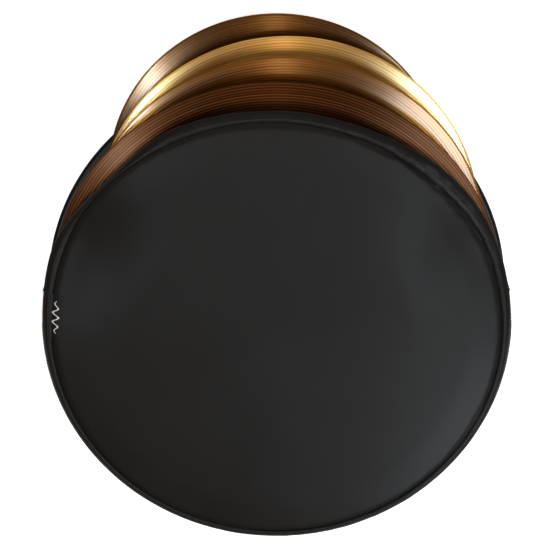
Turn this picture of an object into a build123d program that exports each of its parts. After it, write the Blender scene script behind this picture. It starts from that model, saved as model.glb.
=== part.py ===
# A round padded pouch with four pockets, and four cymbals drawn part of the way out of its mouth.
# Millimetres. The pouch lies on its back: the origin is the centre of the back panel's outer face,
# +Z is the front panel's outward normal and +Y points out of the mouth.
from build123d import *

import os
from math import cos, degrees, radians, sin, sqrt

INCH = 25.4

# Panels: cloth outside, foam between, fleece lining inside
PANEL_RADIUS = 260.3
SHELL = 0.8
FOAM = 3.4
LINING = 0.8
PANEL = SHELL + FOAM + LINING

# Dividers: a felt core between two fleece facings, with a tape over the edge that shows at the mouth
FLEECE = 0.5
CORE = 2.0
DIVIDER = CORE + 2 * FLEECE
DIVIDER_TAPE = 1.2

# Cymbals, back pocket first: size in inches, wall, height over the bell, place across and along the pouch
CYMBALS = [
    {"size": 15, "wall": 1.3, "height": 22.0, "x": 0.0, "y": 140.5},
    {"size": 17, "wall": 1.2, "height": 23.5, "x": 12.4, "y": 97.0},
    {"size": 18, "wall": 1.2, "height": 25.0, "x": 8.8, "y": 70.0},
    {"size": 20, "wall": 1.4, "height": 27.5, "x": 0.0, "y": 25.0},
]
HOLE_RADIUS = 6.0
BELL_SHARE = 0.25  # bell radius over cymbal radius
BOW_SHARE = 0.55  # part of the height that the bow takes, before the bell
BOW_BULGE = 0.27  # how far the bow stands above its chord, as a part of the bow's rise
CLEARANCE = 1.0  # under each rim and over each bell

# Gusset: the padded wall that joins the panels below the mouth. Its lining is upright, its foam swells
# between the seams and its cloth follows the foam.
LINED_RADIUS = 258.5
GUSSET_LINING = 0.8
GUSSET_SEAM_FOAM = 0.9
GUSSET_SHELL = 0.8
GUSSET_RADIUS = LINED_RADIUS + GUSSET_LINING + GUSSET_SEAM_FOAM + GUSSET_SHELL
GUSSET_BOW = 4.5
MOUTH_CORNER = 9.0  # degrees above the widest line where the gusset stops, on each side
END_TAPE = 0.5  # degrees of arc
END_TAPE_WALL = 0.6

# Edges of the panels
WELT_REACH = 3.0
WELT_LOW = 0.4
WELT_HIGH = 5.0
WELT_ROUND = 1.4
BAND_INNER = 249.3
BAND_ROUND = 5.0
BAND_WALL = 1.0
BAND_PROUD = 0.2  # above the front shell's face
SEAM_GAP = 0.3
PIPING_RADIUS = 1.4

# Woven label on the front edge band
LABEL_INNER = 247.4
LABEL_LENGTH = 52.0
LABEL_WALL = 0.5
LABEL_TURN = 176.8  # degrees from +X to its middle
LABEL_ROLL = 55.0  # degrees that it follows the band's round


def stack_pockets():
    """The height of each pocket's floor, of each divider's underside and of the front lining."""
    floors = []
    dividers = []
    height = PANEL
    for cymbal in CYMBALS:
        floors.append(height)
        height += 2 * CLEARANCE + cymbal["height"]
        dividers.append(height)
        height += DIVIDER
    front = dividers.pop()
    return floors, dividers, front


FLOORS, DIVIDERS, FRONT = stack_pockets()
TOP = FRONT + PANEL
EDGE_CENTRE_R = GUSSET_RADIUS - BAND_ROUND
EDGE_CENTRE_Z = TOP + BAND_PROUD - BAND_ROUND


def radial_plane(turn):
    """An upright plane through the pouch's axis: its X runs outwards and its Y runs up."""
    angle = radians(turn)
    return Plane((0, 0, 0), x_dir=(cos(angle), sin(angle), 0), z_dir=(sin(angle), -cos(angle), 0))


def save(sub_part, name):
    """Label a finished sub-part and write it to its own STEP file."""
    sub_part.part.label = name
    export_step(sub_part.part, f"parts/{name}.step")


def make_disc(name, radius, low, thickness):
    """One flat round layer of a panel or divider."""
    with BuildPart() as disc:
        with BuildSketch(Plane.XY.offset(low)):
            Circle(radius)
        extrude(amount=thickness)
    save(disc, name)


def upright(radius, bow):
    """The side of a gusset layer, from the back panel to the front one, straight or bowed outwards."""
    low = (radius, PANEL)
    high = (radius, FRONT)
    if bow:
        return ThreePointArc(low, (radius + bow, (PANEL + FRONT) / 2), high)
    return Line(low, high)


def make_gusset_layer(name, start, arc, inner, outer):
    """A band between the panels; inner and outer are each a radius at the seams and a bow."""
    with BuildPart() as layer:
        with BuildSketch(radial_plane(start)):
            with BuildLine():
                inside = upright(*inner)
                outside = upright(*outer)
                Line(inside @ 0, outside @ 0)
                Line(inside @ 1, outside @ 1)
            make_face()
        revolve(axis=Axis.Z, revolution_arc=arc)
    save(layer, name)


def make_panels():
    """The back and front panels, each of three round layers."""
    make_disc("back_shell", PANEL_RADIUS, 0, SHELL)
    make_disc("back_foam", PANEL_RADIUS, SHELL, FOAM)
    make_disc("back_lining", PANEL_RADIUS, SHELL + FOAM, LINING)
    make_disc("front_lining", GUSSET_RADIUS - BAND_WALL - SEAM_GAP, FRONT, LINING)
    make_disc("front_foam", EDGE_CENTRE_R, FRONT + LINING, FOAM)
    make_disc("front_shell", BAND_INNER - SEAM_GAP, TOP - SHELL, SHELL)


def make_back_welt():
    """The rounded tape that binds the back panel's edge, all the way round."""
    reach = PANEL_RADIUS + WELT_REACH
    with BuildPart() as welt:
        with BuildSketch(radial_plane(0)) as section:
            with BuildLine():
                Polyline(
                    (PANEL_RADIUS, WELT_LOW),
                    (reach, WELT_LOW),
                    (reach, WELT_HIGH),
                    (PANEL_RADIUS, WELT_HIGH),
                    close=True,
                )
            make_face()
            fillet(section.vertices().group_by(Axis.X)[-1], WELT_ROUND)
        revolve(axis=Axis.Z)
    save(welt, "back_welt")


def make_front_edge():
    """The band that rolls over the front panel's edge, and the piping cord inside its fold."""
    inner_round = BAND_ROUND - BAND_WALL
    centre = (EDGE_CENTRE_R, EDGE_CENTRE_Z)
    with BuildPart() as band:
        with BuildSketch(radial_plane(0)):
            with BuildLine():
                outer = CenterArc(centre, BAND_ROUND, 0, 90)
                inner = CenterArc(centre, inner_round, 0, 90)
                Polyline(
                    outer @ 1,
                    (BAND_INNER, EDGE_CENTRE_Z + BAND_ROUND),
                    (BAND_INNER, EDGE_CENTRE_Z + inner_round),
                    inner @ 1,
                )
                Line(inner @ 0, outer @ 0)
            make_face()
        revolve(axis=Axis.Z)
    save(band, "front_edge_band")

    with BuildPart() as piping:
        with BuildSketch(radial_plane(0)):
            with Locations((EDGE_CENTRE_R + PIPING_RADIUS, FRONT + LINING + PIPING_RADIUS)):
                Circle(PIPING_RADIUS)
        revolve(axis=Axis.Z)
    save(piping, "front_piping")


def make_gusset():
    """The three layers of the side wall, and the tapes over its two ends at the mouth's corners."""
    start = 180 - MOUTH_CORNER
    arc = 180 + 2 * MOUTH_CORNER
    lined = (LINED_RADIUS, 0)
    backed = (LINED_RADIUS + GUSSET_LINING, 0)
    padded = (GUSSET_RADIUS - GUSSET_SHELL, GUSSET_BOW)
    clothed = (GUSSET_RADIUS, GUSSET_BOW)
    taped = (GUSSET_RADIUS + END_TAPE_WALL, GUSSET_BOW)
    make_gusset_layer("gusset_lining", start, arc, lined, backed)
    make_gusset_layer("gusset_foam", start, arc, backed, padded)
    make_gusset_layer("gusset_shell", start, arc, padded, clothed)
    make_gusset_layer("mouth_tape_right", MOUTH_CORNER, END_TAPE, lined, taped)
    make_gusset_layer("mouth_tape_left", start - END_TAPE, END_TAPE, lined, taped)


def make_dividers():
    """Three round padded dividers, as wide as the lined gusset."""
    for number, low in enumerate(DIVIDERS, start=1):
        make_disc(f"divider_{number}_back_fleece", LINED_RADIUS, low, FLEECE)
        make_disc(f"divider_{number}_core", LINED_RADIUS, low + FLEECE, CORE)
        make_disc(f"divider_{number}_front_fleece", LINED_RADIUS, low + FLEECE + CORE, FLEECE)
        with BuildPart() as tape:
            with BuildSketch(radial_plane(MOUTH_CORNER + END_TAPE)):
                with Locations((LINED_RADIUS + DIVIDER_TAPE / 2, low + DIVIDER / 2)):
                    Rectangle(DIVIDER_TAPE, DIVIDER)
            revolve(axis=Axis.Z, revolution_arc=180 - 2 * (MOUTH_CORNER + END_TAPE))
        save(tape, f"divider_{number}_tape")


def make_label():
    """The woven label, laid over the edge band and following its round."""
    centre = (EDGE_CENTRE_R, EDGE_CENTRE_Z)
    turn = degrees(LABEL_LENGTH / EDGE_CENTRE_R)
    flat_z = EDGE_CENTRE_Z + BAND_ROUND
    with BuildPart() as label:
        with BuildSketch(radial_plane(LABEL_TURN - turn / 2)):
            with BuildLine():
                under = CenterArc(centre, BAND_ROUND, 90, -LABEL_ROLL)
                over = CenterArc(centre, BAND_ROUND + LABEL_WALL, 90, -LABEL_ROLL)
                Line(under @ 1, over @ 1)
                Polyline(
                    over @ 0,
                    (LABEL_INNER, flat_z + LABEL_WALL),
                    (LABEL_INNER, flat_z),
                    under @ 0,
                )
            make_face()
        revolve(axis=Axis.Z, revolution_arc=turn)
    save(label, "woven_label")


def make_cymbal(cymbal, floor):
    """A cymbal of even wall: a shallow bow, a domed bell and the hole for a stand's rod."""
    radius = cymbal["size"] * INCH / 2
    bell_radius = BELL_SHARE * radius
    rise = cymbal["height"] - cymbal["wall"]
    bow_rise = BOW_SHARE * rise
    dome_rise = rise - bow_rise
    dome_radius = (bell_radius**2 + dome_rise**2) / (2 * dome_rise)
    rim = floor + CLEARANCE

    def dome_height(at):
        return rise - dome_radius + sqrt(dome_radius**2 - at**2)

    def profile(base):
        """The bow and bell seen from the side, from the rim in to the hole, at a height above the rim."""
        middle = (radius + bell_radius) / 2
        ThreePointArc(
            (radius, base), (middle, base + bow_rise * (0.5 + BOW_BULGE)), (bell_radius, base + bow_rise)
        )
        ThreePointArc(
            (bell_radius, base + bow_rise),
            (bell_radius / 2, base + dome_height(bell_radius / 2)),
            (HOLE_RADIUS, base + dome_height(HOLE_RADIUS)),
        )

    with BuildPart() as plate:
        with BuildSketch(Plane((cymbal["x"], cymbal["y"], rim), x_dir=(1, 0, 0), z_dir=(0, -1, 0))):
            with BuildLine():
                profile(0)
                profile(cymbal["wall"])
                Line((radius, 0), (radius, cymbal["wall"]))
                hole_top = dome_height(HOLE_RADIUS)
                Line((HOLE_RADIUS, hole_top), (HOLE_RADIUS, hole_top + cymbal["wall"]))
            make_face()
        revolve(axis=Axis((cymbal["x"], cymbal["y"], 0), (0, 0, 1)))
    save(plate, f"cymbal_{cymbal['size']}")


os.makedirs("parts", exist_ok=True)
make_panels()
make_back_welt()
make_front_edge()
make_gusset()
make_dividers()
make_label()
for plate, floor_height in zip(CYMBALS, FLOORS):
    make_cymbal(plate, floor_height)
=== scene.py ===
"""Looks of a round padded cymbal pouch, with four cymbals drawn part of the way out of its mouth.

Everything is in metres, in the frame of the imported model: the pouch lies on its back on z = 0, its
mouth faces +Y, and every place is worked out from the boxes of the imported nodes.
"""

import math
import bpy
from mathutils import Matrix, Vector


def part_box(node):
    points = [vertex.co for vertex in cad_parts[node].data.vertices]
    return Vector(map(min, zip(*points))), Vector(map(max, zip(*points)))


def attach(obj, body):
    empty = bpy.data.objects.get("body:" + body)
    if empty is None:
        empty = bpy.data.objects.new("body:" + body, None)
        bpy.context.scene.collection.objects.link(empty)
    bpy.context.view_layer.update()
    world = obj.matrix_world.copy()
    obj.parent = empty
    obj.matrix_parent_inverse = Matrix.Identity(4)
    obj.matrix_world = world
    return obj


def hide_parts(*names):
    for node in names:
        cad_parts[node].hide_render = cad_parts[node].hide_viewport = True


bl_info = {
    "name": "Cymbal pouch",
    "version": (1, 0, 0),
    "blender": (4, 5, 0),
    "location": "3D View > Sidebar > Pouch",
    "description": "Builds a padded cymbal pouch and its cymbals around the packed frame",
    "category": "Object",
}

import bmesh
import bpy
import numpy as np
from mathutils import Matrix, Vector, noise
from mathutils.bvhtree import BVHTree

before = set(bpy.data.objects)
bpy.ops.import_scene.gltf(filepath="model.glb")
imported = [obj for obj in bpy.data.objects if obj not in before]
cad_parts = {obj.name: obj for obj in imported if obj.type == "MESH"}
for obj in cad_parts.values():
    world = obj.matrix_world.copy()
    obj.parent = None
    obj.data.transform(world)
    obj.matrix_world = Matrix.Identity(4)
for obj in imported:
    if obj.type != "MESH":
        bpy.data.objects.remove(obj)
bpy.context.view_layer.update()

MM = 0.001

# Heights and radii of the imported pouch
BACK_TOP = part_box("back_lining")[1].z
BACK_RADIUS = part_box("back_shell")[1].x
WELT_LOW, WELT_HIGH = (corner.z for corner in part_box("back_welt"))
WELT_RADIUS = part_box("back_welt")[1].x
FRONT_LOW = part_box("front_lining")[0].z
FRONT_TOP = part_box("front_shell")[1].z
SEAM_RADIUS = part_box("front_shell")[1].x + 3 * MM
BAND_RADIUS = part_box("front_edge_band")[1].x
BAND_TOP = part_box("front_edge_band")[1].z
LINED_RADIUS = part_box("divider_1_core")[1].x
GUSSET_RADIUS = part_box("gusset_shell")[1].x
GUSSET_BOW = GUSSET_RADIUS - BAND_RADIUS
MOUTH_CORNER = math.degrees(math.asin(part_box("gusset_lining")[1].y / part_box("gusset_lining")[1].x))
TAPE_RADIUS = LINED_RADIUS + 1.2 * MM
TAPE_TURN = 0.5
FULL_TURN = 360.0

# The round pads: how their grid crowds at the edge, and their underside's dip as a share of the top's
EDGE_CROWDING = 1.3
UNDER_DIP = 0.4

# The cloth simulation that fills the front pad, and the width at its edge where its effect fades
CLOTH_FRAMES = 20
FADE_WIDTH = 40 * MM

# How the front panel hangs, draws in and puckers, with turns in degrees round the pouch from +X
CORNER_SAG = 18.5 * MM
LEFT_CORNER, RIGHT_CORNER, CORNER_SPREAD = 156, 23, 17
HANG_START, HANG_WIDTH = 145 * MM, 115 * MM
DRAW_START = 150 * MM
PUCKER = 1.3 * MM
PUCKER_WIDTH = 9 * MM
SEAM_GATHER, SEAM_GATHER_SPREAD = 45, 40
BAND_GATHER = 20
SWELL = 0.9 * MM

# Shifts outwards in millimetres, by degrees round the pouch from +X, and the degrees that smooth them
TABLE_SPREAD = 5.0
EDGE_SHIFT = {
    0: 0.5, 14: 2, 20: 1, 24: 1.5, 28: 2, 34: 1.2, 41: 0.8, 47: -0.1, 53: -2.4, 59: -5.2, 68: -7.2, 78: -7.2,
    90: -6.2, 96: -5.5, 109: -2.2, 118: -0.6, 123: -2.6, 130: -6, 136: -7.4, 142: -6.4, 148: -2.6, 154: 0.3,
    158: 4.5, 163: 4, 170: 2, 180: 0, 330: 0,
}
SEAM_SHIFT = {
    0: 0, 10: -1, 20: -2, 35: -6, 46: -9, 60: -10, 75: -10, 90: -9, 110: -6, 130: -3, 150: 0, 330: 0,
}

# Millimetres out from the seam, and down from the band's highest point
BAND_PROFILE = (
    (0, 3.4), (0.4, 2.6), (0.9, 1.9), (1.6, 1.3), (2.6, 0.9), (3.7, 1.0), (4.8, 1.45), (5.8, 2.1), (6.7, 2.9),
    (7.5, 3.8), (8.2, 4.7), (8.8, 5.6), (9.2, 6.4), (9.3, 7.1), (9.1, 7.8), (8.6, 8.3), (7.6, 8.6), (6, 8.4),
    (4, 6.8), (2, 5.4),
)

# Each divider from the back: how far its corners hang, and where the left and right ones start, in mm
DIVIDER_HANGS = ((9 * MM, 206, 206), (15 * MM, 214, 233), (21 * MM, 226, 241))
LEFT_EASE, RIGHT_EASE = 26, 20

# The label over the front seam, and the wave woven into it
LABEL_INNER = SEAM_RADIUS - 12.5 * MM
LABEL_WIDE = 14 * MM
LABEL_WALL = 0.5 * MM
MARK_SWING = 3.4 * MM
MARK_WIDTH = 1.2 * MM
MARK_SHARE = 0.74
MARK_WAVES = 3.5
MARK_STEPS = 90
MARK_STEP_LENGTH = 0.6 * MM

# Node, slot, wall, roughness, lacquer, and painted light in its grooves: painted shade below 0, a painted
# highlight above 0
CYMBALS = (
    ("cymbal_15", "bronze_15", 1.3 * MM, 0.29, 0.35, -0.55),
    ("cymbal_17", "bronze_17", 1.2 * MM, 0.33, 0.65, -0.25),
    ("cymbal_18", "bronze_18", 1.2 * MM, 0.3, 0.42, -0.6),
    ("cymbal_20", "bronze_20", 1.4 * MM, 0.36, 0.02, 2.6),
)
HOLE_RADIUS = 6.0 * MM
BELL_SHARE = 0.25
BOW_SHARE = 0.55
BOW_BULGE = 0.27
RIM_ROUND = 1.5 * MM
UNDER_RINGS = 40

# Threads per metre, strength of their relief, roughness, sheen, lint and specular level
CLOTHS = {
    "woven_cloth": (1600, 0.3, 0.44, 0.0, 0.3, 0.17),
    "fleece": (700, 0.6, 0.95, 0.35, 2.5, 0.25),
    "ribbed_tape": (900, 0.7, 0.8, 0.12, 0.4, 0.25),
    "divider_binding": (900, 0.7, 0.8, 0.5, 0.6, 0.25),
    "label_ground": (3000, 0.4, 0.5, 0.05, 0.2, 0.25),
    "label_mark": (3000, 0.5, 0.55, 0.1, 0.2, 0.25),
}

# Each lamp shines off a flat lathed plate's grooves at one turn (degrees) round the plate: name, turn,
# reach out from the line of sight, width, length, distance, radiance and colour
VIEW_MIDDLE = Vector((-0.0018, 0.04, 0.06))
COOL = (0.82, 0.93, 1.0)
AMBER = (1.0, 0.62, 0.22)
LAMPS = (
    ("left_box", 134.5, 0.50, 0.14, 1.1, 2.2, 23.0, COOL),
    ("right_box", 40, 0.54, 0.62, 0.9, 2.2, 8.0, COOL),
    ("top_box", 90, 0.46, 0.09, 1.1, 2.2, 3.8, AMBER),
    ("rim_box", 90, 1.16, 1.4, 0.5, 2.2, 2.0, COOL),
    ("side_box", -24, 0.48, 0.35, 0.35, 1.1, 12.0, COOL),
)


class PouchSettings(bpy.types.PropertyGroup):
    """Sizes and colours of the pouch and of what it holds."""

    woven_cloth: bpy.props.FloatVectorProperty(
        name="Cloth", description="Outer cloth", subtype="COLOR", default=(0.0122, 0.0118, 0.0118)
    )
    fleece: bpy.props.FloatVectorProperty(
        name="Fleece", description="Lining and facings", subtype="COLOR", default=(0.075, 0.07, 0.074)
    )
    ribbed_tape: bpy.props.FloatVectorProperty(
        name="Tape", description="Ribbed binding tape", subtype="COLOR", default=(0.012, 0.012, 0.014)
    )
    divider_binding: bpy.props.FloatVectorProperty(
        name="Divider tape", description="Dividers' binding", subtype="COLOR", default=(0.05, 0.046, 0.05)
    )
    thread: bpy.props.FloatVectorProperty(
        name="Thread", description="Sewing thread", subtype="COLOR", default=(0.03, 0.03, 0.032)
    )
    label_ground: bpy.props.FloatVectorProperty(
        name="Label", description="Woven label's ground", subtype="COLOR", default=(0.006, 0.006, 0.007)
    )
    label_mark: bpy.props.FloatVectorProperty(
        name="Mark", description="Woven label's mark", subtype="COLOR", default=(0.95, 0.95, 0.95)
    )
    bronze_15: bpy.props.FloatVectorProperty(
        name="Bronze 15", description="Back cymbal", subtype="COLOR", default=(0.2, 0.085, 0.01)
    )
    bronze_17: bpy.props.FloatVectorProperty(
        name="Bronze 17", description="Second cymbal", subtype="COLOR", default=(1.0, 0.62, 0.19)
    )
    bronze_18: bpy.props.FloatVectorProperty(
        name="Bronze 18", description="Third cymbal", subtype="COLOR", default=(0.34, 0.145, 0.02)
    )
    # The front cymbal's bronze is made darker as painted shade, standing in for its different tilt to the
    # light
    bronze_20: bpy.props.FloatVectorProperty(
        name="Bronze 20", description="Front cymbal", subtype="COLOR", default=(0.055, 0.021, 0.007)
    )
    groove_pitch: bpy.props.FloatProperty(
        name="Groove pitch", description="Between lathe grooves", unit="LENGTH", default=3.0 * MM
    )
    groove_depth: bpy.props.FloatProperty(
        name="Groove depth", description="Of a lathe groove", unit="LENGTH", default=0.07 * MM
    )
    stitch_pitch: bpy.props.FloatProperty(
        name="Stitch pitch", description="From stitch to stitch", unit="LENGTH", default=3.6 * MM
    )
    stitch_length: bpy.props.FloatProperty(
        name="Stitch length", description="Of the thread that shows", unit="LENGTH", default=2.6 * MM
    )
    thread_width: bpy.props.FloatProperty(
        name="Thread width", description="Of the sewing thread", unit="LENGTH", default=0.45 * MM
    )
    camera_tilt: bpy.props.FloatProperty(
        name="Camera tilt", description="From overhead to mouth", subtype="ANGLE", default=math.radians(22)
    )
    camera_distance: bpy.props.FloatProperty(
        name="Camera distance", description="To the middle of the view", unit="LENGTH", default=3.0
    )
    view_width: bpy.props.FloatProperty(
        name="View width", description="Width of the view at the pouch", unit="LENGTH", default=0.6215
    )


def sizes():
    """The user's settings, kept on the scene that is being built."""
    return bpy.context.scene.pouch


# ---------------------------------------------------------------------------------------------------
# Node arithmetic


class Field:
    """A socket of a node tree that takes part in ordinary arithmetic."""

    def __init__(self, tree, socket):
        self.tree = tree
        self.socket = socket

    def math(self, operation, *others):
        node = self.tree.nodes.new("ShaderNodeMath")
        node.operation = operation
        for place, value in enumerate((self, *others)):
            if isinstance(value, Field):
                self.tree.links.new(value.socket, node.inputs[place])
            else:
                node.inputs[place].default_value = value
        return Field(self.tree, node.outputs[0])

    def __add__(self, other):
        return self.math("ADD", other)

    def __sub__(self, other):
        return self.math("SUBTRACT", other)

    def __rsub__(self, other):
        return self * -1.0 + other

    def __mul__(self, other):
        return self.math("MULTIPLY", other)

    def __truediv__(self, other):
        return self.math("DIVIDE", other)

    def above(self, other):
        return self.math("GREATER_THAN", other)

    def mix(self, when_zero, when_one):
        """when_zero where this field is 0, when_one where it is 1."""
        return (when_one - when_zero) * self + when_zero


def add_node(tree, kind, links=None, **values):
    """A new node, with its named inputs linked to sockets or set to values."""
    node = tree.nodes.new(kind)
    for name, value in values.items():
        setattr(node, name, value)
    for name, value in (links or {}).items():
        if isinstance(value, Field):
            value = value.socket
        if isinstance(value, bpy.types.NodeSocket):
            tree.links.new(value, node.inputs[name])
        else:
            node.inputs[name].default_value = value
    return node


def new_tree(name, kind, inputs, outputs):
    """A node group with named inputs and outputs, and its two end nodes."""
    tree = bpy.data.node_groups.new(name, kind)
    for label, socket_type, default in inputs:
        socket = tree.interface.new_socket(name=label, in_out="INPUT", socket_type=socket_type)
        if default is not None:
            socket.default_value = default
    for label, socket_type in outputs:
        tree.interface.new_socket(name=label, in_out="OUTPUT", socket_type=socket_type)
    return tree, tree.nodes.new("NodeGroupInput"), tree.nodes.new("NodeGroupOutput")


def bake_nodes(name, tree, values, body):
    """The plain mesh that a geometry tree makes, riding on a body."""
    start = bpy.data.objects.new(name + "_start", bpy.data.meshes.new(name + "_start"))
    bpy.context.scene.collection.objects.link(start)
    modifier = start.modifiers.new("Nodes", "NODES")
    modifier.node_group = tree
    for item in tree.interface.items_tree:
        if item.in_out == "INPUT" and item.name in values:
            modifier[item.identifier] = values[item.name]
    depsgraph = bpy.context.evaluated_depsgraph_get()
    mesh = bpy.data.meshes.new_from_object(start.evaluated_get(depsgraph), depsgraph=depsgraph)
    bpy.data.objects.remove(start)
    mesh.name = name
    piece = bpy.data.objects.new(name, mesh)
    bpy.context.scene.collection.objects.link(piece)
    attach(piece, body)
    return piece


# ---------------------------------------------------------------------------------------------------
# Shader groups and materials


def weave_group():
    """Plain weave from a vector in metres: crossing threads, and a slow change of tone."""
    if "weave" in bpy.data.node_groups:
        return bpy.data.node_groups["weave"]
    tree, start, end = new_tree(
        "weave",
        "ShaderNodeTree",
        [
            ("Vector", "NodeSocketVector", None),
            ("Threads per metre", "NodeSocketFloat", 1500.0),
            ("Lint", "NodeSocketFloat", 0.5),
        ],
        [("Height", "NodeSocketFloat"), ("Tone", "NodeSocketFloat")],
    )
    split = add_node(tree, "ShaderNodeSeparateXYZ", {"Vector": start.outputs["Vector"]})
    turns = Field(tree, start.outputs["Threads per metre"]) * math.pi
    across = (Field(tree, split.outputs["X"]) * turns).math("SINE")
    along = (Field(tree, split.outputs["Y"]) * turns).math("SINE")
    height = across * along * 0.5 + 0.5
    place = start.outputs["Vector"]
    fuzz = add_node(tree, "ShaderNodeTexNoise", {"Vector": place, "Scale": 420.0, "Detail": 4.0})
    patch = add_node(tree, "ShaderNodeTexNoise", {"Vector": place, "Scale": 9.0, "Detail": 2.0})
    lint = Field(tree, fuzz.outputs["Fac"]) * Field(tree, start.outputs["Lint"])
    tree.links.new((height + lint).socket, end.inputs["Height"])
    tone = Field(tree, patch.outputs["Fac"]) * 0.5 + lint * 0.35 + height * 0.15 + 0.5
    tree.links.new(tone.socket, end.inputs["Tone"])
    return tree


def scaled_colour(tree, colour, tone):
    """A colour made lighter and darker by a tone about 1."""
    node = add_node(tree, "ShaderNodeVectorMath", {0: tuple(colour)}, operation="SCALE")
    tree.links.new(tone.socket, node.inputs["Scale"])
    return node.outputs["Vector"]


def add_relief(tree, shader, height, strength, distance):
    """Fine bumps in a surface, from a height."""
    bumps = {"Height": height, "Strength": strength, "Distance": distance}
    relief = add_node(tree, "ShaderNodeBump", bumps)
    tree.links.new(relief.outputs["Normal"], shader.inputs["Normal"])


def new_material(name):
    """A material with only its Principled shader."""
    material = bpy.data.materials.new(name)
    material.use_nodes = True
    return material, material.node_tree, material.node_tree.nodes["Principled BSDF"]


def cloth(name):
    """Woven or brushed cloth that follows the piece's own UV map, which is in metres."""
    if name in bpy.data.materials:
        return bpy.data.materials[name]
    threads, bump, roughness, sheen, lint, gloss = CLOTHS[name]
    material, tree, shader = new_material(name)
    surface = add_node(tree, "ShaderNodeUVMap", uv_map="UVMap")
    woven = {"Vector": surface.outputs["UV"], "Threads per metre": threads, "Lint": lint}
    weave = add_node(tree, "ShaderNodeGroup", woven, node_tree=weave_group())
    tone = Field(tree, weave.outputs["Tone"])
    tree.links.new(scaled_colour(tree, getattr(sizes(), name), tone), shader.inputs["Base Color"])
    tree.links.new((tone * 0.1 + (roughness - 0.1)).socket, shader.inputs["Roughness"])
    add_relief(tree, shader, weave.outputs["Height"], bump, 0.15 * MM)
    shader.inputs["Specular IOR Level"].default_value = gloss
    shader.inputs["Sheen Weight"].default_value = sheen
    shader.inputs["Sheen Roughness"].default_value = 0.45
    return material


def thread():
    """Twisted polyester sewing thread."""
    material, tree, shader = new_material("thread")
    place = add_node(tree, "ShaderNodeTexCoord")
    twist = add_node(tree, "ShaderNodeTexNoise", {"Vector": place.outputs["Object"], "Scale": 2600.0})
    tone = Field(tree, twist.outputs["Fac"]) + 0.5
    tree.links.new(scaled_colour(tree, sizes().thread, tone), shader.inputs["Base Color"])
    add_relief(tree, shader, twist.outputs["Fac"], 0.4, 0.1 * MM)
    shader.inputs["Roughness"].default_value = 0.55
    return material


def lathe_group():
    """Rings cut by a lathe tool: fine grooves and broad changes of tone from hole to rim."""
    if "lathe_rings" in bpy.data.node_groups:
        return bpy.data.node_groups["lathe_rings"]
    tree, start, end = new_tree(
        "lathe_rings",
        "ShaderNodeTree",
        [
            ("Across", "NodeSocketFloat", 0.0),
            ("Grooves", "NodeSocketFloat", 80.0),
            ("Seed", "NodeSocketFloat", 0.0),
        ],
        [("Tone", "NodeSocketFloat"), ("Cut", "NodeSocketFloat")],
    )
    grooves = Field(tree, start.outputs["Across"]) * Field(tree, start.outputs["Grooves"])
    shifted = grooves + Field(tree, start.outputs["Seed"])
    row = {"W": shifted, "Detail": 1.0}
    fine, each, broad = (
        add_node(tree, "ShaderNodeTexNoise", {**row, "Scale": scale}, noise_dimensions="1D")
        for scale in (1.7, 1.1, 0.2)
    )
    valley = (grooves * (2 * math.pi)).math("COSINE") * -0.5 + 0.5
    cut = valley.math("POWER", 3.0) * (Field(tree, each.outputs["Fac"]) * 1.6 + 0.1)
    tree.links.new(cut.socket, end.inputs["Cut"])
    tone = Field(tree, fine.outputs["Fac"]) * 0.8 + Field(tree, broad.outputs["Fac"]) * 0.5 + 0.35
    tree.links.new(tone.socket, end.inputs["Tone"])
    return tree


def hammer_group():
    """Soft dents left by the hammer under the lathe work."""
    if "hammer_marks" in bpy.data.node_groups:
        return bpy.data.node_groups["hammer_marks"]
    tree, start, end = new_tree(
        "hammer_marks",
        "ShaderNodeTree",
        [("Vector", "NodeSocketVector", None), ("Marks per metre", "NodeSocketFloat", 55.0)],
        [("Height", "NodeSocketFloat")],
    )
    dents = add_node(
        tree,
        "ShaderNodeTexVoronoi",
        {"Vector": start.outputs["Vector"], "Scale": start.outputs["Marks per metre"]},
        feature="SMOOTH_F1",
    )
    tree.links.new(dents.outputs["Distance"], end.inputs["Height"])
    return tree


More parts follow.
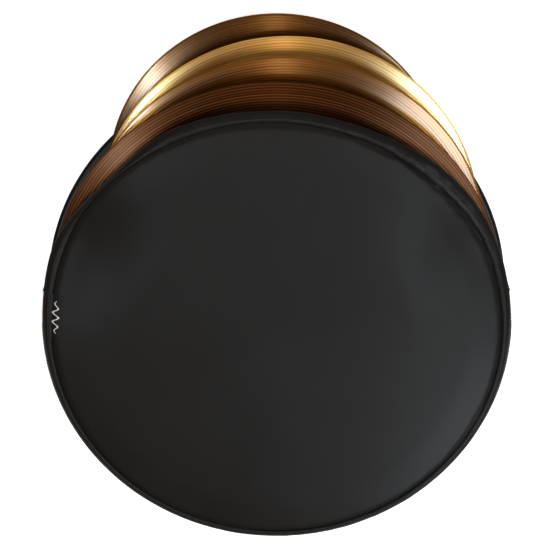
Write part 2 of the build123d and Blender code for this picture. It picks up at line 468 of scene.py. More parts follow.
def bronze(name, grooves, seed, roughness, lacquer, painted_groove_light):
    """Lathed bronze: anisotropic across the grooves, with rings of tone, faint tarnish, and painted light in
    the groove valleys: painted shade darkens them where the last amount is below 0, and a painted highlight
    lightens them where it is above.
    """
    material, tree, shader = new_material(name)
    surface = add_node(tree, "ShaderNodeUVMap", uv_map="UVMap")
    split = add_node(tree, "ShaderNodeSeparateXYZ", {"Vector": surface.outputs["UV"]})
    place = add_node(tree, "ShaderNodeTexCoord")
    cuts = {"Across": split.outputs["Y"], "Grooves": grooves, "Seed": seed}
    lathe = add_node(tree, "ShaderNodeGroup", cuts, node_tree=lathe_group())
    spot = place.outputs["Object"]
    hammer = add_node(tree, "ShaderNodeGroup", {"Vector": spot}, node_tree=hammer_group())
    tarnish = add_node(tree, "ShaderNodeTexNoise", {"Vector": spot, "Scale": 14.0, "Detail": 5.0})
    ring_tone = Field(tree, lathe.outputs["Tone"])
    haze = Field(tree, tarnish.outputs["Fac"])
    cut = Field(tree, lathe.outputs["Cut"])
    # The groove valleys' colour is scaled by the cut: painted shade where the amount is below 0, a painted
    # highlight where it is above
    tone = (ring_tone * 0.75 + haze * 0.3 + 0.1) * (cut * painted_groove_light + 1.0)
    tree.links.new(scaled_colour(tree, getattr(sizes(), name), tone), shader.inputs["Base Color"])
    tree.links.new((haze * 0.06 + cut * 0.1 + (roughness - 0.04)).socket, shader.inputs["Roughness"])
    add_relief(tree, shader, hammer.outputs["Height"], 0.1, 0.3 * MM)
    grain = add_node(tree, "ShaderNodeTangent", direction_type="UV_MAP", uv_map="UVMap")
    tree.links.new(grain.outputs["Tangent"], shader.inputs["Tangent"])
    shader.inputs["Metallic"].default_value = 1.0
    shader.inputs["Anisotropic"].default_value = 0.87
    shader.inputs["Anisotropic Rotation"].default_value = 0.25
    shader.inputs["Coat Weight"].default_value = lacquer
    shader.inputs["Coat Roughness"].default_value = 0.15
    shader.inputs["Coat IOR"].default_value = 2.3
    return material


# ---------------------------------------------------------------------------------------------------
# Meshes


def wavering(x, y, z, size, seed):
    """Smooth noise between about -1 and 1, with features of a given size."""
    return noise.noise(Vector((x / size + seed, y / size - seed, z / size + 0.5 * seed)))


def mesh_piece(name, vertices, faces, corner_uvs, materials, body="pouch"):
    """A smooth, closed, outward-facing piece with a UV map in metres, riding on a body."""
    mesh = bpy.data.meshes.new(name)
    mesh.from_pydata([tuple(v) for v in vertices], [], faces)
    layer = mesh.uv_layers.new(name="UVMap")
    layer.data.foreach_set("uv", np.array(corner_uvs, dtype=np.float32).ravel())
    for material in materials:
        mesh.materials.append(material)
    mesh.polygons.foreach_set("use_smooth", [True] * len(mesh.polygons))
    shape = bmesh.new()
    shape.from_mesh(mesh)
    bmesh.ops.recalc_face_normals(shape, faces=shape.faces)
    shape.to_mesh(mesh)
    shape.free()
    piece = bpy.data.objects.new(name, mesh)
    bpy.context.scene.collection.objects.link(piece)
    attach(piece, body)
    return piece


def lathe_piece(name, profile, materials, start=0.0, arc=FULL_TURN, segments=360, ripple=None):
    """A closed outline of (radius, height) points turned about the pouch's axis."""
    closed = arc >= FULL_TURN
    columns = segments if closed else segments + 1
    outline = len(profile)
    run = [0.0]
    for (r0, z0), (r1, z1) in zip(profile, profile[1:] + profile[:1]):
        run.append(run[-1] + math.hypot(r1 - r0, z1 - z0))
    vertices = []
    for column in range(columns):
        turn = math.radians(start + arc * column / segments)
        for radius, height in profile:
            if ripple:
                radius, height = ripple(turn, radius, height)
            vertices.append((radius * math.cos(turn), radius * math.sin(turn), height))
    faces = []
    uvs = []
    step = math.radians(arc) / segments * profile[0][0]
    for column in range(segments):
        this = column * outline
        after = (column + 1) % columns * outline
        for point in range(outline):
            onward = (point + 1) % outline
            faces.append((this + point, after + point, after + onward, this + onward))
            low, high = run[point], run[point + 1]
            near, far = column * step, (column + 1) * step
            uvs += [(near, low), (far, low), (far, high), (near, high)]
    if not closed:
        for first in (0, segments * outline):
            faces.append(tuple(range(first, first + outline)))
            uvs += [(r, z) for r, z in profile]
    return mesh_piece(name, vertices, faces, uvs, materials)


def disc_points(cells, radius):
    """A square grid of points drawn out to a disc, with its cells smaller towards the edge."""
    points = []
    for row in range(cells + 1):
        for column in range(cells + 1):
            x = 2 * column / cells - 1
            y = 2 * row / cells - 1
            ring = max(abs(x), abs(y))
            if ring == 0:
                points.append((0.0, 0.0))
                continue
            if abs(x) > abs(y):
                turn = math.pi / 4 * y / x + (0 if x > 0 else math.pi)
            else:
                turn = math.pi / 2 - math.pi / 4 * x / y + (0 if y > 0 else math.pi)
            reach = radius * (1 - (1 - ring) ** EDGE_CROWDING)
            points.append((reach * math.cos(turn), reach * math.sin(turn)))
    return points


def padded_disc(name, radius, low, high, cells, edge, materials, crown=0.0, dip=0.5):
    """A round pad, closed at its edge, where its two faces dip by a share of its thickness."""
    flat = disc_points(cells, radius)
    middle = (low + high) / 2
    half = (high - low) / 2
    side = cells + 1
    rim = {i for i in range(side * side) if i % side in (0, cells) or i // side in (0, cells)}
    vertices = []
    for x, y in flat:
        inset = max(radius - math.hypot(x, y), 0.0)
        share = 1 - dip * (1 - min(inset / edge, 1.0)) ** 2
        swell = crown * (1 - (math.hypot(x, y) / radius) ** 5)
        vertices.append((x, y, middle + half * share + swell))
    under = {}
    for index, (x, y) in enumerate(flat):
        if index in rim:
            under[index] = index
            continue
        inset = radius - math.hypot(x, y)
        share = 1 - UNDER_DIP * dip * (1 - min(inset / edge, 1.0)) ** 2
        under[index] = len(vertices)
        vertices.append((x, y, middle - half * share))
    faces = []
    uvs = []
    for row in range(cells):
        for column in range(cells):
            a = row * side + column
            quad = (a, a + 1, a + 1 + side, a + side)
            faces.append(quad)
            uvs += [flat[i] for i in quad]
            mirrored = quad[::-1]
            faces.append(tuple(under[i] for i in mirrored))
            uvs += [flat[i] for i in mirrored]
    piece = mesh_piece(name, vertices, faces, uvs, materials)
    if len(materials) > 1:
        for polygon in piece.data.polygons:
            polygon.material_index = 1 if polygon.normal.z < -0.2 else 0
    return piece, sorted(rim)


def puff(piece, held, pressure, cap, slack, radius):
    """Swell a round piece upwards by cloth simulation, moving no point further than cap.

    Its seam is held, and its underside doesn't drop, so that it stays clear of what lies below.
    """
    scene = bpy.context.scene
    before = np.array([v.co for v in piece.data.vertices])
    seam = piece.vertex_groups.new(name="seam")
    seam.add(held, 1.0, "REPLACE")
    modifier = piece.modifiers.new("Cloth", "CLOTH")
    cloth = modifier.settings
    cloth.vertex_group_mass = "seam"
    cloth.use_pressure = True
    cloth.uniform_pressure_force = pressure
    cloth.effector_weights.gravity = 0.0
    cloth.shrink_min = -slack
    cloth.tension_stiffness = 20.0
    cloth.bending_stiffness = 2.0
    modifier.point_cache.frame_end = CLOTH_FRAMES
    for step in range(1, CLOTH_FRAMES + 1):
        scene.frame_set(step)
    depsgraph = bpy.context.evaluated_depsgraph_get()
    result = piece.evaluated_get(depsgraph).to_mesh()
    move = np.array([v.co for v in result.vertices]) - before
    length = np.maximum(np.linalg.norm(move, axis=1), 1e-9)
    away = smooth((radius - np.hypot(before[:, 0], before[:, 1])) / FADE_WIDTH)
    move *= (away * cap * np.tanh(length / cap) / length)[:, None]
    move[:, 2] = np.maximum(move[:, 2], 0.0)
    piece.modifiers.remove(modifier)
    piece.vertex_groups.remove(seam)
    piece.data.vertices.foreach_set("co", (before + move).astype(np.float32).ravel())
    piece.data.update()
    scene.frame_set(1)


def smooth(share):
    """0 below 0, 1 above 1 and an even rise between."""
    share = np.clip(share, 0.0, 1.0)
    return share * share * (3 - 2 * share)


def turn_from(degrees, centre):
    """The shorter turn from one direction to another, in degrees."""
    return (degrees - centre + 180) % 360 - 180


def around(table, degrees):
    """A value that changes smoothly round the pouch, from a table of degrees and millimetres."""
    whole = np.arange(360)
    coarse = np.interp(whole, *zip(*sorted(table.items())), period=360)
    spread = np.exp(-((turn_from(whole, 0) / TABLE_SPREAD) ** 2))
    spread /= spread.sum()
    fine = np.real(np.fft.ifft(np.fft.fft(coarse) * np.fft.fft(spread)))
    return np.interp(degrees, whole, fine, period=360) * MM


def sag(degrees):
    """How far the front panel's edge hangs down at the two corners of the mouth."""
    left, right = (turn_from(degrees, corner) / CORNER_SPREAD for corner in (LEFT_CORNER, RIGHT_CORNER))
    return CORNER_SAG * (np.exp(-(left**2)) + np.exp(-(right**2)))


def settle_front(points):
    """The front panel's mouth edge drawn in, hung at the corners and puckered along its seam."""
    x, y, z = points.T
    radius = np.hypot(x, y)
    degrees = np.degrees(np.arctan2(y, x)) % 360
    inner = smooth((radius - DRAW_START) / (SEAM_RADIUS - DRAW_START))
    outer = np.clip((radius - SEAM_RADIUS) / (BAND_RADIUS - SEAM_RADIUS), 0, 1)
    shift = (1 - outer) * inner * around(SEAM_SHIFT, degrees) + outer * around(EDGE_SHIFT, degrees)
    drop = sag(degrees) * smooth((radius - HANG_START) / HANG_WIDTH)
    near_seam = np.exp(-(((radius - SEAM_RADIUS) / PUCKER_WIDTH) ** 2))
    gathered = 0.25 + 0.75 * np.exp(-((turn_from(degrees, SEAM_GATHER) / SEAM_GATHER_SPREAD) ** 2))
    broad, fine, swell = (
        np.array([wavering(a, b, 0, size, seed) for a, b in zip(x, y)])
        for size, seed in ((0.016, 4.4), (0.007, 8.1), (0.13, 1.7))
    )
    folds = broad + 0.6 * fine
    upper = z > (FRONT_LOW + FRONT_TOP) / 2
    height = z - drop + (PUCKER * near_seam * gathered * folds + SWELL * swell) * upper
    reach = (radius + shift) / np.maximum(radius, 1e-9)
    return np.column_stack((x * reach, y * reach, height))


def settle_wall(points):
    """The side wall's front edge following the front panel's."""
    x, y, z = points.T
    degrees = np.degrees(np.arctan2(y, x)) % 360
    share = np.clip((z - BACK_TOP) / (FRONT_LOW - BACK_TOP), 0, 1)
    reach = 1 + share * around(EDGE_SHIFT, degrees) / BAND_RADIUS
    return np.column_stack((x * reach, y * reach, z - share * sag(degrees)))


def settle_divider(number):
    """A divider's free corners hung towards the back, beside the cymbals' way."""
    amount, start_left, start_right = DIVIDER_HANGS[number - 1]

    def settle(points):
        x, y, z = points.T
        left = smooth((-x / MM - start_left) / LEFT_EASE)
        right = smooth((x / MM - start_right) / RIGHT_EASE)
        wave = np.array([wavering(a, b, 0, 0.06, 2.0 + number) for a, b in zip(x, y)])
        edge = smooth((np.hypot(x, y) - 235 * MM) / (25 * MM)) * (y > 0)
        drop = amount * (left + right) * smooth(y / (60 * MM))
        return np.column_stack((x, y, z - drop + 0.4 * MM * wave * edge))

    return settle


def reshape(piece, settle):
    """Move a piece's vertices by a settling function."""
    points = np.empty(len(piece.data.vertices) * 3, dtype=np.float32)
    piece.data.vertices.foreach_get("co", points)
    moved = settle(points.reshape(-1, 3).astype(float))
    piece.data.vertices.foreach_set("co", moved.astype(np.float32).ravel())
    piece.data.update()


def drape(piece, bottom, top):
    """Lay a thin piece on the front panel and its band, its two faces at two heights above them."""
    below = [bpy.data.objects[name] for name in ("front_panel", "front_band")]
    depsgraph = bpy.context.evaluated_depsgraph_get()
    trees = [BVHTree.FromObject(support, depsgraph) for support in below]
    heights = [v.co.z for v in piece.data.vertices]
    middle = (max(heights) + min(heights)) / 2
    for vertex in piece.data.vertices:
        start = Vector((vertex.co.x, vertex.co.y, 2 * BAND_TOP))
        hits = [tree.ray_cast(start, Vector((0, 0, -1)))[0] for tree in trees]
        ground = max(hit.z for hit in hits if hit)
        upper = vertex.normal.z > 0 if abs(vertex.normal.z) > 0.05 else vertex.co.z > middle
        vertex.co.z = ground + (top if upper else bottom)
    piece.data.update()


def arc_points(centre, radius, start, end, count):
    """Points along an arc of an outline, from one angle to another."""
    turns = np.radians(np.linspace(start, end, count))
    return [(centre[0] + radius * math.cos(t), centre[1] + radius * math.sin(t)) for t in turns]


# ---------------------------------------------------------------------------------------------------
# Operators, one for each piece or group of like pieces


class POUCH_OT_panels(bpy.types.Operator):
    """Builds the padded front and back panels"""

    bl_idname = "pouch.panels"
    bl_label = "Panels"
    bl_options = {"REGISTER", "UNDO"}

    def execute(self, context):
        outside_in = [cloth("woven_cloth"), cloth("fleece")]
        front, rim = padded_disc(
            "front_panel", SEAM_RADIUS, FRONT_LOW, FRONT_TOP, 140, 9 * MM, outside_in, crown=3.2 * MM, dip=1.3
        )
        puff(front, rim, pressure=1.2, cap=1.6 * MM, slack=0.004, radius=SEAM_RADIUS)
        reshape(front, settle_front)
        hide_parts("front_shell", "front_foam", "front_lining")
        back, _ = padded_disc("back_panel", BACK_RADIUS, 0.0, BACK_TOP, 110, 5 * MM, outside_in[::-1])
        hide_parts("back_shell", "back_foam", "back_lining")
        return {"FINISHED"}


class POUCH_OT_edges(bpy.types.Operator):
    """Builds the band that rolls over the front panel's edge, and the back panel's bound edge"""

    bl_idname = "pouch.edges"
    bl_label = "Edges"
    bl_options = {"REGISTER", "UNDO"}

    def execute(self, context):
        inner = SEAM_RADIUS - 0.6 * MM
        outline = [(inner, FRONT_LOW - 0.1 * MM)]
        outline += [(inner + out * MM, BAND_TOP - down * MM) for out, down in BAND_PROFILE]
        seat = BAND_TOP - 6 * MM

        def puckered(turn, radius, height):
            gather = 0.5 + 0.5 * math.cos(turn - math.radians(BAND_GATHER))
            wave = wavering(math.cos(turn), math.sin(turn), 0, 0.045, 3.1)
            fold = wavering(math.cos(turn), math.sin(turn), height, 0.02, 7.7)
            lift = (0.3 + 0.7 * gather) * MM * (0.6 * wave + 0.2 * fold)
            return radius + 0.5 * lift, height + (lift if height > seat else 0.0)

        band = lathe_piece("front_band", outline, [cloth("woven_cloth")], segments=720, ripple=puckered)
        reshape(band, settle_front)
        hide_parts("front_edge_band", "front_piping")

        middle = (WELT_LOW + WELT_HIGH) / 2
        half = (WELT_HIGH - WELT_LOW) / 2
        outline = arc_points((WELT_RADIUS - half, middle), half, -90, 90, 10)
        outline += [(BACK_RADIUS, WELT_HIGH), (BACK_RADIUS, WELT_LOW)]
        welt = lathe_piece("back_welt_tape", outline, [cloth("ribbed_tape")], segments=480)
        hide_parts("back_welt")
        return {"FINISHED"}


class POUCH_OT_gusset(bpy.types.Operator):
    """Builds the padded side wall and the tapes over its ends"""

    bl_idname = "pouch.gusset"
    bl_label = "Gusset"
    bl_options = {"REGISTER", "UNDO"}

    def execute(self, context):
        start = 180 - MOUTH_CORNER
        arc = 180 + 2 * MOUTH_CORNER
        rows = 22
        middle = (BACK_TOP + FRONT_LOW) / 2
        half = (FRONT_LOW - BACK_TOP) / 2

        def bowed(radius, bow, count):
            heights = np.linspace(BACK_TOP, FRONT_LOW, count)
            return [(radius + bow * (1 - ((z - middle) / half) ** 2), z) for z in heights]

        outside = bowed(BAND_RADIUS, GUSSET_BOW, rows)
        inside = bowed(LINED_RADIUS, 0.0, rows)[::-1]

        def creased(turn, radius, height):
            if radius < BAND_RADIUS - 0.5 * MM:
                return radius, height
            from_end = min(math.degrees(turn) - start, start + arc - math.degrees(turn))
            taper = float(smooth(from_end / 14))
            tucked = float(smooth((height - FRONT_LOW) / (4 * MM) + 1))
            radius = BAND_RADIUS + taper * (radius - BAND_RADIUS)
            free = math.sin(math.pi * (height - BACK_TOP) / (FRONT_LOW - BACK_TOP))
            broad = wavering(math.cos(turn), math.sin(turn), 0.35 * height, 0.11, 2.2)
            crease = wavering(math.cos(turn), math.sin(turn), 2.0 * height, 0.035, 9.4)
            radius += taper * free * MM * (1.2 * broad + 0.45 * crease) - 1.6 * MM * tucked
            return radius, height

        outside_in = [cloth("woven_cloth"), cloth("fleece")]
        wall = lathe_piece("gusset", outside + inside, outside_in, start, arc, 400, ripple=creased)
        for polygon in wall.data.polygons:
            centre = polygon.center
            outwards = Vector((centre.x, centre.y, 0)).normalized().dot(polygon.normal)
            polygon.material_index = 1 if outwards < -0.5 else 0
        reshape(wall, settle_wall)
        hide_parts("gusset_shell", "gusset_foam", "gusset_lining")

        for side, turn in (("right", MOUTH_CORNER), ("left", start - TAPE_TURN)):
            outline = bowed(BAND_RADIUS + 0.3 * MM, 0.0, rows) + inside
            tape = lathe_piece("corner_tape_" + side, outline, [cloth("ribbed_tape")], turn, TAPE_TURN, 2)
            tape.data.set_sharp_from_angle(angle=math.radians(50))
            reshape(tape, settle_wall)
            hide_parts("mouth_tape_" + side)
        return {"FINISHED"}


class POUCH_OT_label(bpy.types.Operator):
    """Builds the woven label on the front band, with a plain wave as its mark"""

    bl_idname = "pouch.label"
    bl_label = "Label"
    bl_options = {"REGISTER", "UNDO"}

    def execute(self, context):
        low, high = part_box("woven_label")
        centre = math.degrees(math.atan2((low.y + high.y) / 2, low.x))
        length = high.y - low.y
        arc = math.degrees(length / BAND_RADIUS)
        top = [(LABEL_INNER + share * LABEL_WIDE, label_height(share)) for share in np.linspace(0, 1, 16)]
        under = [(r, z - LABEL_WALL) for r, z in top[::-1]]
        label = lathe_piece("label", top + under, [cloth("label_ground")], centre - arc / 2, arc, 60)
        label.data.set_sharp_from_angle(angle=math.radians(60))
        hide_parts("woven_label")

        vertices = []
        faces = []
        uvs = []
        for step in range(MARK_STEPS + 1):
            share = step / MARK_STEPS
            turn = math.radians(centre + arc * (share - 0.5) * MARK_SHARE)
            swing = MARK_SWING * math.sin(MARK_WAVES * 2 * math.pi * share) * math.sin(math.pi * share) ** 0.5
            width = MARK_WIDTH * (0.35 + 0.65 * math.sin(math.pi * share))
            for along in (swing - width, swing + width):
                share_across = 0.5 + along / LABEL_WIDE
                radius = LABEL_INNER + share_across * LABEL_WIDE
                for high_up in (-0.1 * MM, 0.25 * MM):
                    height = label_height(share_across) + high_up
                    vertices.append((radius * math.cos(turn), radius * math.sin(turn), height))
        for step in range(MARK_STEPS):
            a, b = 4 * step, 4 * step + 4
            near, far = MARK_STEP_LENGTH * step, MARK_STEP_LENGTH * (step + 1)
            for first, second in ((0, 1), (1, 3), (3, 2), (2, 0)):
                faces.append((a + first, b + first, b + second, a + second))
                uvs += [(near, 0), (far, 0), (far, MM), (near, MM)]
        last = 4 * MARK_STEPS
        faces += [(0, 1, 3, 2), (last, last + 1, last + 3, last + 2)]
        uvs += [(0, 0), (0, MM), (MM, MM), (MM, 0)] * 2
        mark = mesh_piece("label_mark", vertices, faces, uvs, [cloth("label_mark")])
        mark.data.set_sharp_from_angle(angle=math.radians(60))
        for piece, bottom, top in ((label, 0.1 * MM, 0.6 * MM), (mark, 0.5 * MM, 0.85 * MM)):
            reshape(piece, settle_front)
            drape(piece, bottom, top)
        return {"FINISHED"}


def label_height(share):
    """The height of the label's face at a share of its width, over the panel and the seam."""
    return BAND_TOP + 0.4 * MM - 0.5 * MM * float(smooth((share - 0.45) / 0.35))


class POUCH_OT_dividers(bpy.types.Operator):
    """Builds the three padded dividers and the tapes over their free edges"""

    bl_idname = "pouch.dividers"
    bl_label = "Dividers"
    bl_options = {"REGISTER", "UNDO"}

    def execute(self, context):
        for number in (1, 2, 3):
            node = f"divider_{number}"
            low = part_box(node + "_back_fleece")[0].z
            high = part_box(node + "_front_fleece")[1].z
            fleece = [cloth("fleece")]
            pad, _ = padded_disc(f"{node}_pad", LINED_RADIUS, low, high, 90, 2.5 * MM, fleece, dip=0.8)
            reshape(pad, settle_divider(number))
            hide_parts(node + "_core", node + "_back_fleece", node + "_front_fleece")
            half = (high - low) / 2
            outline = arc_points((TAPE_RADIUS - half, low + half), half, -90, 90, 8)
            outline += [(LINED_RADIUS - 5 * MM, high), (LINED_RADIUS - 5 * MM, low)]
            start = MOUTH_CORNER + TAPE_TURN
            binding = [cloth("divider_binding")]
            tape = lathe_piece(f"{node}_edge_tape", outline, binding, start, 180 - 2 * start, 240)
            reshape(tape, settle_divider(number))
            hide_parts(node + "_tape")
        return {"FINISHED"}


def cymbal_tree():
    """A lathed plate: bow, bell and hole, with a groove at every second ring of its upper face."""
    floats = [
        ("Radius", 0.25),
        ("Bell radius", 0.06),
        ("Hole radius", 0.006),
        ("Bow rise", 0.012),
        ("Bow bulge", 0.27),
        ("Bell rise", 0.01),
        ("Wall", 0.0014),
        ("Groove depth", 0.00005),
    ]
    inputs = [(name, "NodeSocketFloat", value) for name, value in floats]
    inputs += [
        ("Centre", "NodeSocketVector", None),
        ("Segments", "NodeSocketInt", 288),
        ("Upper rings", "NodeSocketInt", 200),
        ("Under rings", "NodeSocketInt", 40),
        ("Material", "NodeSocketMaterial", None),
    ]
    outputs = [("Geometry", "NodeSocketGeometry")]
    tree, start, end = new_tree("lathed_plate", "GeometryNodeTree", inputs, outputs)
    given = {name: Field(tree, start.outputs[name]) for name, _ in floats}
    segments = Field(tree, start.outputs["Segments"])
    upper = Field(tree, start.outputs["Upper rings"])
    under = Field(tree, start.outputs["Under rings"])
    rows = upper + under + 1  # the last row closes the wall of the hole

    grid = add_node(
        tree,
        "GeometryNodeMeshGrid",
        {"Size X": 1.0, "Size Y": 1.0, "Vertices X": segments + 1, "Vertices Y": rows + 1},
    )
    mapped = add_node(
        tree,
        "GeometryNodeStoreNamedAttribute",
        {"Geometry": grid.outputs["Mesh"], "Name": "UVMap"},
        data_type="FLOAT2",
        domain="CORNER",
    )
    tree.links.new(grid.outputs["UV Map"], mapped.inputs["Value"])
    place = add_node(tree, "GeometryNodeInputPosition")
    split = add_node(tree, "ShaderNodeSeparateXYZ", {"Vector": place.outputs["Position"]})
    turn = (Field(tree, split.outputs["X"]) + 0.5) * (-2 * math.pi)
    row = ((Field(tree, split.outputs["Y"]) + 0.5) * rows).math("ROUND")

    last = row.above(rows - 0.5)
    beneath = row.above(upper + 0.5) - last
    share_upper = row * (1.0 - last) / upper
    share_under = (row - upper - 1.0) / (under - 1.0)
    rim, hole = given["Radius"], given["Hole radius"]
    radius = beneath.mix(share_upper.mix(hole, rim), share_under.mix(rim, hole))

    on_bow = radius.above(given["Bell radius"])
    inward = (rim - radius) / (rim - given["Bell radius"])
    bow = given["Bow rise"] * (inward + given["Bow bulge"] * 4.0 * inward * (1.0 - inward))
    bell_radius, bell_rise = given["Bell radius"], given["Bell rise"]
    dome_radius = (bell_radius * bell_radius + bell_rise * bell_rise) / (bell_rise * 2.0)
    dome_height = (dome_radius * dome_radius - radius * radius).math("SQRT")
    dome = given["Bow rise"] + bell_rise - dome_radius + dome_height
    height = on_bow.mix(dome, bow)

    uneven = add_node(tree, "ShaderNodeTexWhiteNoise", {"W": row}, noise_dimensions="1D")
    cut = row.math("MODULO", 2.0) * (Field(tree, uneven.outputs["Value"]) * 0.8 + 0.6)
    inside_rim = (rim - RIM_ROUND - radius).above(0.0)
    groove = given["Groove depth"] * cut * inside_rim * -1.0
    rim_drop = (1.0 - inside_rim) * (radius - rim + RIM_ROUND) * 0.35
    on_top = 1.0 - beneath
    height = height - rim_drop * on_top + (given["Wall"] + groove) * on_top

    corner = add_node(
        tree,
        "ShaderNodeCombineXYZ",
        {"X": radius * turn.math("COSINE"), "Y": radius * turn.math("SINE"), "Z": height},
    )
    sum_of = {0: corner.outputs["Vector"], 1: start.outputs["Centre"]}
    moved = add_node(tree, "ShaderNodeVectorMath", sum_of, operation="ADD")
    shaped = add_node(
        tree,
        "GeometryNodeSetPosition",
        {"Geometry": mapped.outputs["Geometry"], "Position": moved.outputs["Vector"]},
    )
    closed = add_node(
        tree, "GeometryNodeMergeByDistance", {"Geometry": shaped.outputs["Geometry"], "Distance": 1e-6}
    )
    rounded = add_node(tree, "GeometryNodeSetShadeSmooth", {"Geometry": closed.outputs["Geometry"]})
    real = add_node(tree, "GeometryNodeRealizeInstances", {"Geometry": rounded.outputs["Geometry"]})
    painted = add_node(
        tree,
        "GeometryNodeSetMaterial",
        {"Geometry": real.outputs["Geometry"], "Material": start.outputs["Material"]},
    )
    tree.links.new(painted.outputs["Geometry"], end.inputs["Geometry"])
    return tree


class POUCH_OT_cymbals(bpy.types.Operator):
    """Builds the four lathed cymbals"""

    bl_idname = "pouch.cymbals"
    bl_label = "Cymbals"
    bl_options = {"REGISTER", "UNDO"}

    def execute(self, context):
        tree = cymbal_tree()
        for seed, (node, slot, wall, *finish_and_painted_light) in enumerate(CYMBALS):
            low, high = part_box(node)
            radius = (high.x - low.x) / 2
            rise = high.z - low.z - wall
            rings = 2 * round((radius - HOLE_RADIUS) / sizes().groove_pitch)
            # The UV map runs from the hole over the upper rings, the under rings and the hole's wall
            grooves = (rings + UNDER_RINGS + 1) / 2
            values = {
                "Radius": radius,
                "Bell radius": BELL_SHARE * radius,
                "Hole radius": HOLE_RADIUS,
                "Bow rise": BOW_SHARE * rise,
                "Bow bulge": BOW_BULGE,
                "Bell rise": (1 - BOW_SHARE) * rise,
                "Wall": wall,
                "Groove depth": sizes().groove_depth,
                "Centre": ((low.x + high.x) / 2, (low.y + high.y) / 2, low.z),
                "Segments": 288,
                "Upper rings": rings,
                "Under rings": UNDER_RINGS,
                "Material": bronze(slot, grooves, 31.0 * seed, *finish_and_painted_light),
            }
            plate = bake_nodes(node + "_lathed", tree, values, node)
            plate.data.set_sharp_from_angle(angle=math.radians(40))
            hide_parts(node)
        return {"FINISHED"}


def stitch_tree():
    """A row of straight stitches round an arc about the pouch's axis."""
    inputs = [
        ("Radius", "NodeSocketFloat", 0.25),
        ("Height", "NodeSocketFloat", 0.1),
        ("Start", "NodeSocketFloat", 0.0),
        ("Arc", "NodeSocketFloat", 6.28),
        ("Pitch", "NodeSocketFloat", 0.0036),
        ("Length", "NodeSocketFloat", 0.0026),
        ("Width", "NodeSocketFloat", 0.00045),
        ("Material", "NodeSocketMaterial", None),
    ]
    outputs = [("Geometry", "NodeSocketGeometry")]
    tree, start, end = new_tree("stitch_row", "GeometryNodeTree", inputs, outputs)
    given = {name: start.outputs[name] for name, _, _ in inputs}
    arc = add_node(
        tree,
        "GeometryNodeCurveArc",
        {
            "Resolution": 360,
            "Radius": given["Radius"],
            "Start Angle": given["Start"],
            "Sweep Angle": given["Arc"],
        },
        mode="RADIUS",
    )
    count = Field(tree, given["Radius"]) * Field(tree, given["Arc"]) / Field(tree, given["Pitch"])
    points = add_node(
        tree, "GeometryNodeResampleCurve", {"Curve": arc.outputs["Curve"], "Count": count.math("ROUND")}
    )
    tangent = add_node(tree, "GeometryNodeInputTangent")
    along = {"Vector": tangent.outputs["Tangent"]}
    aim = add_node(tree, "FunctionNodeAlignRotationToVector", along, axis="Z")
    stitch = add_node(tree, "GeometryNodeMeshUVSphere", {"Segments": 6, "Rings": 5, "Radius": 0.5})
    rounded = add_node(tree, "GeometryNodeSetShadeSmooth", {"Geometry": stitch.outputs["Mesh"]})
    size = add_node(
        tree, "ShaderNodeCombineXYZ", {"X": given["Width"], "Y": given["Width"], "Z": given["Length"]}
    )
    row = add_node(
        tree,
        "GeometryNodeInstanceOnPoints",
        {
            "Points": points.outputs["Curve"],
            "Instance": rounded.outputs["Geometry"],
            "Rotation": aim.outputs["Rotation"],
            "Scale": size.outputs["Vector"],
        },
    )
    lift = add_node(tree, "ShaderNodeCombineXYZ", {"Z": given["Height"]})
    move = {"Geometry": row.outputs["Instances"], "Translation": lift.outputs["Vector"]}
    raised = add_node(tree, "GeometryNodeTransform", move)
    real = add_node(tree, "GeometryNodeRealizeInstances", {"Geometry": raised.outputs["Geometry"]})
    painted = add_node(
        tree, "GeometryNodeSetMaterial", {"Geometry": real.outputs["Geometry"], "Material": given["Material"]}
    )
    tree.links.new(painted.outputs["Geometry"], end.inputs["Geometry"])
    return tree


class POUCH_OT_stitches(bpy.types.Operator):
    """Sews the rows of stitches along the seams"""

    bl_idname = "pouch.stitches"
    bl_label = "Stitches"
    bl_options = {"REGISTER", "UNDO"}

    def execute(self, context):
        tree = stitch_tree()
        yarn = thread()
        whole = (0.0, 2 * math.pi)
        wall = (math.radians(180 - MOUTH_CORNER), math.radians(180 + 2 * MOUTH_CORNER))
        mouth_start = math.radians(MOUTH_CORNER + 1)
        mouth = (mouth_start, math.pi - 2 * mouth_start)
        wall_radius = BAND_RADIUS + 0.95 * MM
        rows = [
            ("front_band_stitches", SEAM_RADIUS + 3.2 * MM, BAND_TOP + 0.1 * MM, *whole, settle_front),
            ("gusset_front_stitches", wall_radius, FRONT_LOW - 6 * MM, *wall, settle_wall),
            ("gusset_back_stitches", wall_radius, BACK_TOP + 6 * MM, *wall, settle_wall),
            ("back_welt_stitches", WELT_RADIUS - 1.0 * MM, WELT_HIGH, *whole, None),
        ]
        for number in (1, 2, 3):
            name = f"divider_{number}_stitches"
            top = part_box(f"divider_{number}_front_fleece")[1].z
            rows.append((name, LINED_RADIUS - 3.4 * MM, top, *mouth, settle_divider(number)))
        for name, radius, height, start, arc, settle in rows:
            values = {
                "Radius": radius,
                "Height": height,
                "Start": start,
                "Arc": arc,
                "Pitch": sizes().stitch_pitch,
                "Length": sizes().stitch_length,
                "Width": sizes().thread_width,
                "Material": yarn,
            }
            row = bake_nodes(name, tree, values, "pouch")
            if settle:
                reshape(row, settle)
        return {"FINISHED"}


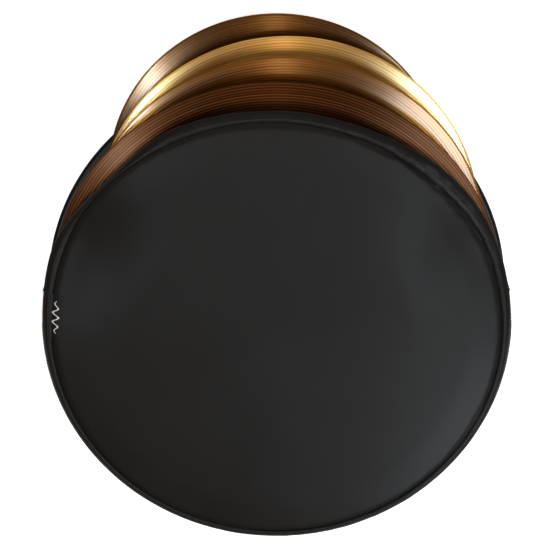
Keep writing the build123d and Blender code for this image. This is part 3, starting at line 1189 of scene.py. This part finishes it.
class POUCH_OT_stage(bpy.types.Operator):
    """Builds the floor, the soft studio light and the camera"""

    bl_idname = "pouch.stage"
    bl_label = "Stage"
    bl_options = {"REGISTER", "UNDO"}

    def execute(self, context):
        scene = bpy.context.scene
        bpy.ops.mesh.primitive_plane_add(size=12)
        floor = bpy.context.object
        floor.name = "floor"
        material, tree, shader = new_material("floor_white")
        shader.inputs["Base Color"].default_value = (0.9, 0.9, 0.9, 1)
        shader.inputs["Roughness"].default_value = 0.9
        shader.inputs["Emission Color"].default_value = (1, 1, 1, 1)
        rays = add_node(tree, "ShaderNodeLightPath")
        glow = Field(tree, rays.outputs["Is Camera Ray"]) * 0.8 + 0.05
        tree.links.new(glow.socket, shader.inputs["Emission Strength"])
        floor.data.materials.append(material)

        world = bpy.data.worlds.new("studio")
        world.use_nodes = True
        backdrop = world.node_tree.nodes["Background"]
        backdrop.inputs["Color"].default_value = (1, 0.55, 0.22, 1)
        backdrop.inputs["Strength"].default_value = 0.2
        scene.world = world

        tilt = sizes().camera_tilt
        for name, turn, reach, across, along, away, radiance, colour in LAMPS:
            outward = Vector((math.cos(math.radians(turn)), math.sin(math.radians(turn)), 0))
            flat = reach * outward - Vector((0, math.sin(tilt), 0))
            aim = Vector((flat.x, flat.y, math.sqrt(1 - flat.length_squared)))
            tangent = outward.cross(aim).cross(aim).cross(aim).normalized()
            lamp = bpy.data.lights.new(name, "AREA")
            lamp.shape = "RECTANGLE"
            lamp.size = across
            lamp.size_y = along
            lamp.energy = radiance * math.pi * across * along
            lamp.color = colour
            holder = bpy.data.objects.new(name, lamp)
            turned = Matrix((tangent, aim.cross(tangent), aim)).transposed()
            holder.matrix_world = Matrix.Translation(VIEW_MIDDLE + away * aim) @ turned.to_4x4()
            scene.collection.objects.link(holder)

        camera = bpy.data.cameras.new("camera")
        camera.sensor_width = 36.0
        camera.lens = camera.sensor_width * sizes().camera_distance / sizes().view_width
        viewer = bpy.data.objects.new("camera", camera)
        sight = Vector((0, math.sin(tilt), math.cos(tilt)))
        viewer.location = VIEW_MIDDLE + sizes().camera_distance * sight
        viewer.rotation_euler = (-tilt, 0, 0)
        scene.collection.objects.link(viewer)
        scene.camera = viewer
        scene.view_settings.view_transform = "Standard"
        return {"FINISHED"}


OPERATORS = (
    POUCH_OT_panels,
    POUCH_OT_edges,
    POUCH_OT_gusset,
    POUCH_OT_label,
    POUCH_OT_dividers,
    POUCH_OT_cymbals,
    POUCH_OT_stitches,
    POUCH_OT_stage,
)


class POUCH_PT_sidebar(bpy.types.Panel):
    """Lists the settings and the operators in the 3D view's sidebar"""

    bl_label = "Cymbal pouch"
    bl_idname = "POUCH_PT_sidebar"
    bl_space_type = "VIEW_3D"
    bl_region_type = "UI"
    bl_category = "Pouch"

    def draw(self, context):
        for name in PouchSettings.__annotations__:
            self.layout.prop(context.scene.pouch, name)
        for operator in OPERATORS:
            self.layout.operator(operator.bl_idname)


CLASSES = (PouchSettings, *OPERATORS, POUCH_PT_sidebar)


def register():
    """Makes the settings, the operators and the panel known."""
    for cls in CLASSES:
        bpy.utils.register_class(cls)
    bpy.types.Scene.pouch = bpy.props.PointerProperty(type=PouchSettings)


def unregister():
    """Takes them away again."""
    del bpy.types.Scene.pouch
    for cls in reversed(CLASSES):
        bpy.utils.unregister_class(cls)


def main():
    """Builds every piece and the stage."""
    register()
    for operator in OPERATORS:
        group, name = operator.bl_idname.split(".")
        getattr(getattr(bpy.ops, group), name)()
    bpy.context.view_layer.update()


if __name__ == "__main__":
    main()
